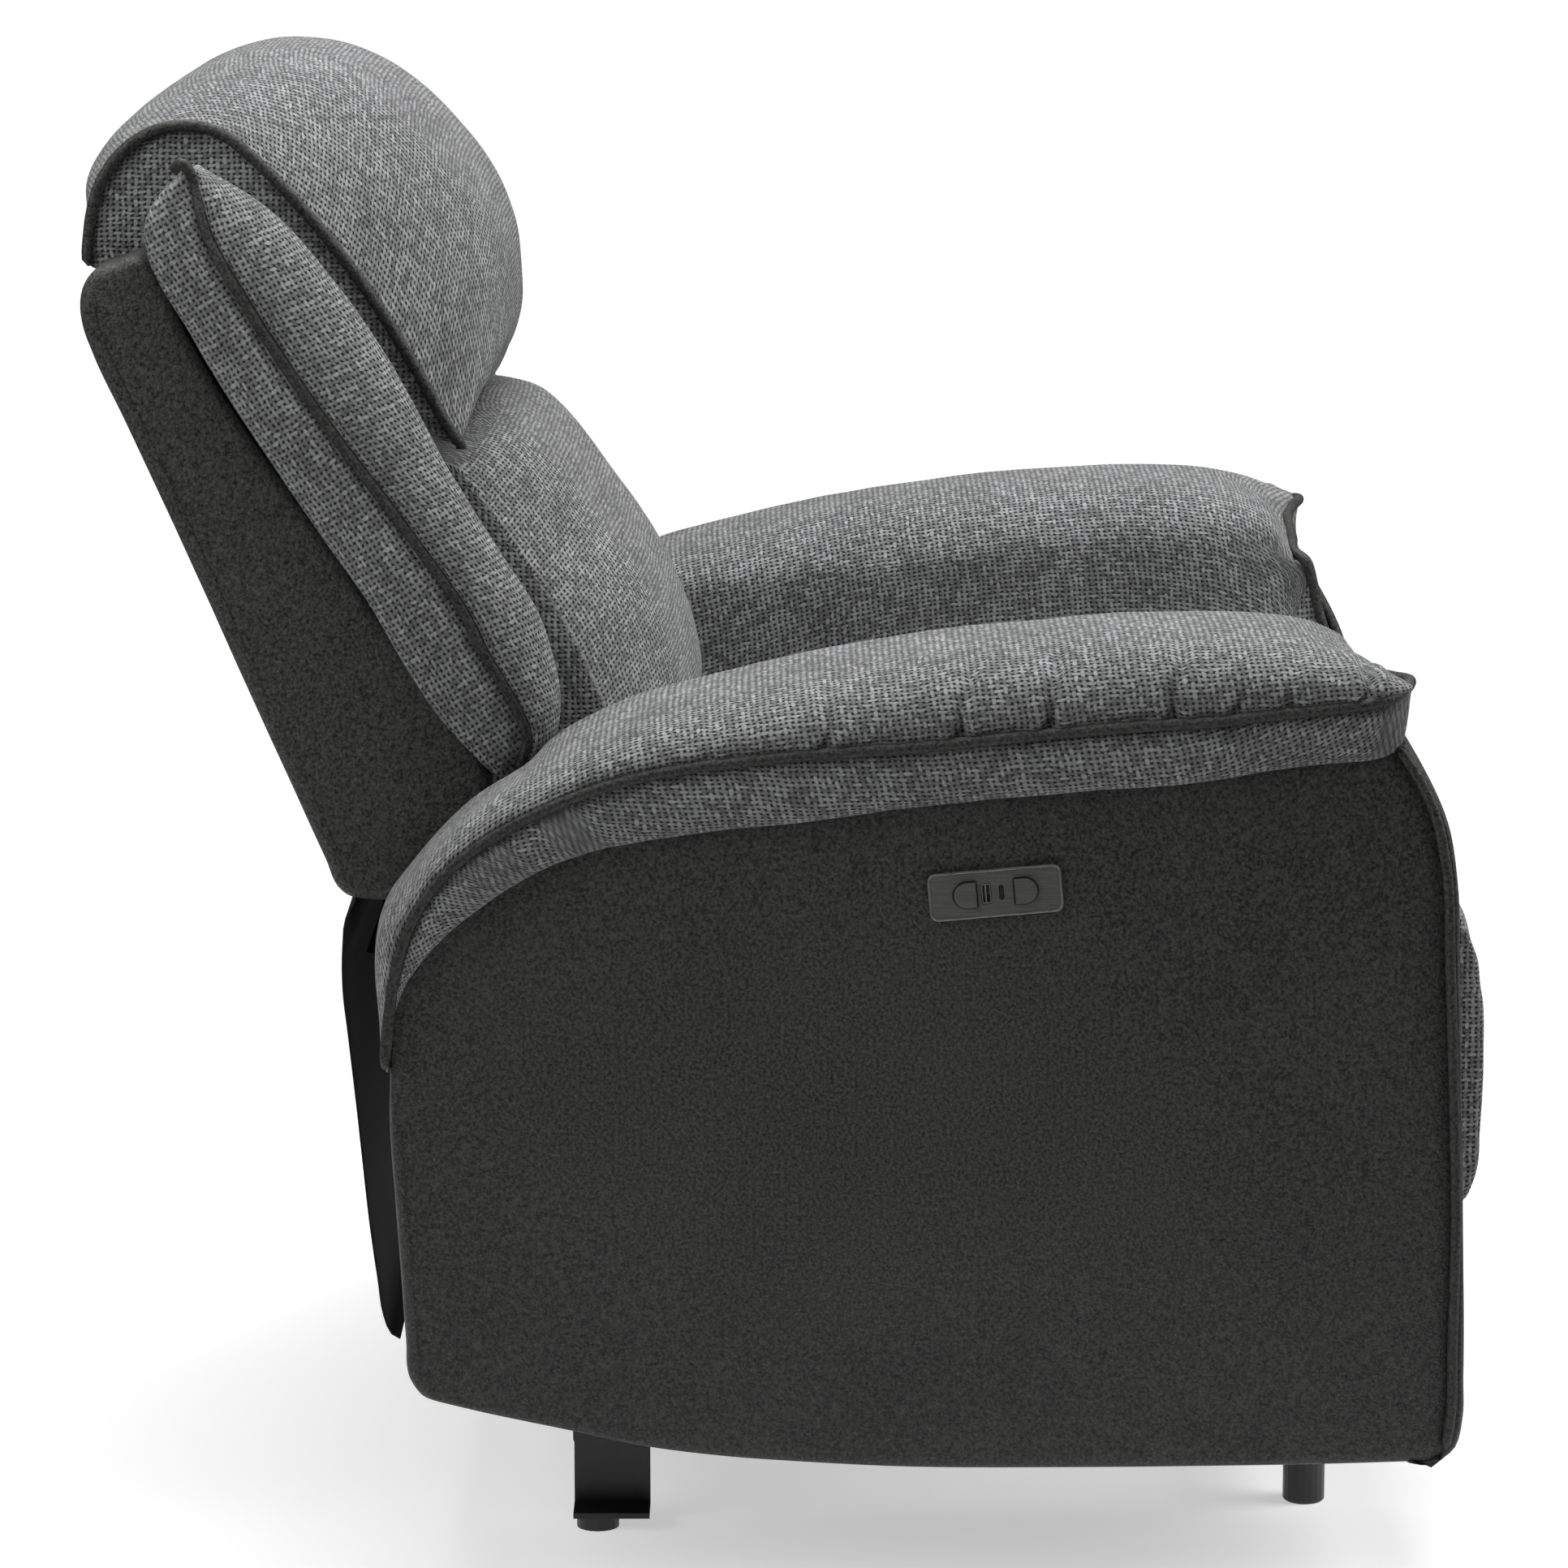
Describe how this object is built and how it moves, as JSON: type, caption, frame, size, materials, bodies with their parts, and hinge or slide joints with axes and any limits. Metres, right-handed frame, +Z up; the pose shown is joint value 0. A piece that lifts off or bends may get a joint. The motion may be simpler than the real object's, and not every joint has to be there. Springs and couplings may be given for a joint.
{
  "type": "power recliner armchair",
  "caption": "Power recliner armchair with padded roll arms, side bolsters, lumbar and head pillows, a fold-out footrest on scissor links and a push-button plate on the right arm.",
  "frame": {"origin": "on the floor, under the middle of the chair's outline", "axes": "+Z up; the sitter faces -Y; -X is the sitter's right, the side with the push buttons"},
  "size_m": [0.97, 1, 1.03],
  "materials": {
    "grey_chenille": "matte",
    "charcoal_leather": "satin",
    "black_steel": "satin",
    "zinc_steel": "satin",
    "gunmetal": "satin",
    "black_plastic": "matte",
    "plywood": "matte",
    "dust_cloth": "matte"
  },
  "bodies": {
    "floor_frame": {"base_frame": "black_steel", "rear_bracket_right": "black_steel", "rear_bracket_left": "black_steel", "rear_glide_right": "black_plastic", "rear_glide_left": "black_plastic", "front_foot_right": "black_plastic", "front_foot_left": "black_plastic"},
    "seat": {"mechanism_plate_right": "zinc_steel", "mechanism_plate_left": "zinc_steel", "mechanism_cross_tube": "black_steel", "seat_rail_left": "plywood", "seat_rail_right": "plywood", "seat_rail_front": "plywood", "seat_rail_rear": "plywood", "seat_spring_1": "zinc_steel", "seat_spring_2": "zinc_steel", "seat_spring_3": "zinc_steel", "seat_cushion": "grey_chenille", "arm_board_right": "plywood", "arm_board_left": "plywood", "arm_cover_right": "charcoal_leather", "arm_cover_left": "charcoal_leather", "arm_inner_panel_right": "grey_chenille", "arm_inner_panel_left": "grey_chenille", "arm_pillow_right": "grey_chenille", "arm_pillow_left": "grey_chenille", "control_plate": "gunmetal", "switch_housing": "black_plastic", "usb_socket": "zinc_steel", "indicator_lens": "black_plastic", "actuator_motor": "black_plastic", "actuator_track": "gunmetal", "power_inlet": "black_plastic", "rear_skirt": "dust_cloth"},
    "back": {"back_board": "plywood", "back_shell": "charcoal_leather", "back_bracket_right": "zinc_steel", "back_bracket_left": "zinc_steel", "bolster_right": "grey_chenille", "bolster_left": "grey_chenille", "lumbar_cushion": "grey_chenille", "head_pillow": "grey_chenille"},
    "rear_link": {"rear_link_right": "zinc_steel", "rear_link_left": "zinc_steel", "drive_tube": "black_steel"},
    "long_link": {"long_link_right": "zinc_steel", "long_link_left": "zinc_steel"},
    "front_link": {"front_link_right": "zinc_steel", "front_link_left": "zinc_steel"},
    "outer_link": {"outer_link_right": "zinc_steel", "outer_link_left": "zinc_steel"},
    "footrest": {"footrest_board": "plywood", "footrest_pad": "grey_chenille", "footrest_bracket_right": "zinc_steel", "footrest_bracket_left": "zinc_steel"},
    "carriage": {"actuator_carriage": "black_plastic"},
    "button_open": {"button_open": "black_plastic"},
    "button_close": {"button_close": "black_plastic"}
  },
  "joints": [
    {"name": "seat_slide", "type": "slide", "parent": "floor_frame", "child": "seat", "axis": [0, -1, 0], "range_m": [0, 0.066]},
    {"name": "recline", "type": "hinge", "parent": "seat", "child": "back", "pos_m": [0, 0.235, 0.36], "axis": [-1, 0, 0], "range_deg": [0, 38], "deforming": ["rear_skirt"]},
    {"name": "footrest_open", "type": "hinge", "parent": "seat", "child": "rear_link", "pos_m": [0, -0.27, 0.341], "axis": [-1, 0, 0], "range_deg": [0, 112]},
    {"name": "long_link_turn", "type": "hinge", "parent": "rear_link", "child": "long_link", "pos_m": [0, -0.14547, 0.14171], "axis": [-1, 0, 0], "range_deg": [-141, 0]},
    {"name": "footrest_turn", "type": "hinge", "parent": "long_link", "child": "footrest", "pos_m": [0, -0.385, 0.346], "axis": [-1, 0, 0], "range_deg": [0, 121]},
    {"name": "front_link_turn", "type": "hinge", "parent": "seat", "child": "front_link", "pos_m": [0, -0.323, 0.368], "axis": [-1, 0, 0], "range_deg": [0, 112]},
    {"name": "outer_link_turn", "type": "hinge", "parent": "front_link", "child": "outer_link", "pos_m": [0, -0.16615, 0.15131], "axis": [-1, 0, 0], "range_deg": [-142, 0]},
    {"name": "carriage_slide", "type": "slide", "parent": "seat", "child": "carriage", "axis": [0, -1, 0], "range_m": [0, 0.1]},
    {"name": "button_open_press", "type": "slide", "parent": "seat", "child": "button_open", "axis": [1, 0, 0], "range_m": [0, 0.0025], "stiffness_N_per_m": 700},
    {"name": "button_close_press", "type": "slide", "parent": "seat", "child": "button_close", "axis": [1, 0, 0], "range_m": [0, 0.0025], "stiffness_N_per_m": 700}
  ],
  "couplings": [
    {"joint": "seat_slide", "follows": "recline", "m_per_rad": 0.098},
    {"joint": "long_link_turn", "follows": "footrest_open", "ratio": -1.2541},
    {"joint": "footrest_turn", "follows": "footrest_open", "ratio": 1.0755},
    {"joint": "front_link_turn", "follows": "footrest_open", "ratio": 0.9955},
    {"joint": "outer_link_turn", "follows": "footrest_open", "ratio": -1.2616},
    {"joint": "carriage_slide", "follows": "footrest_open", "m_per_rad": 0.0509}
  ]
}
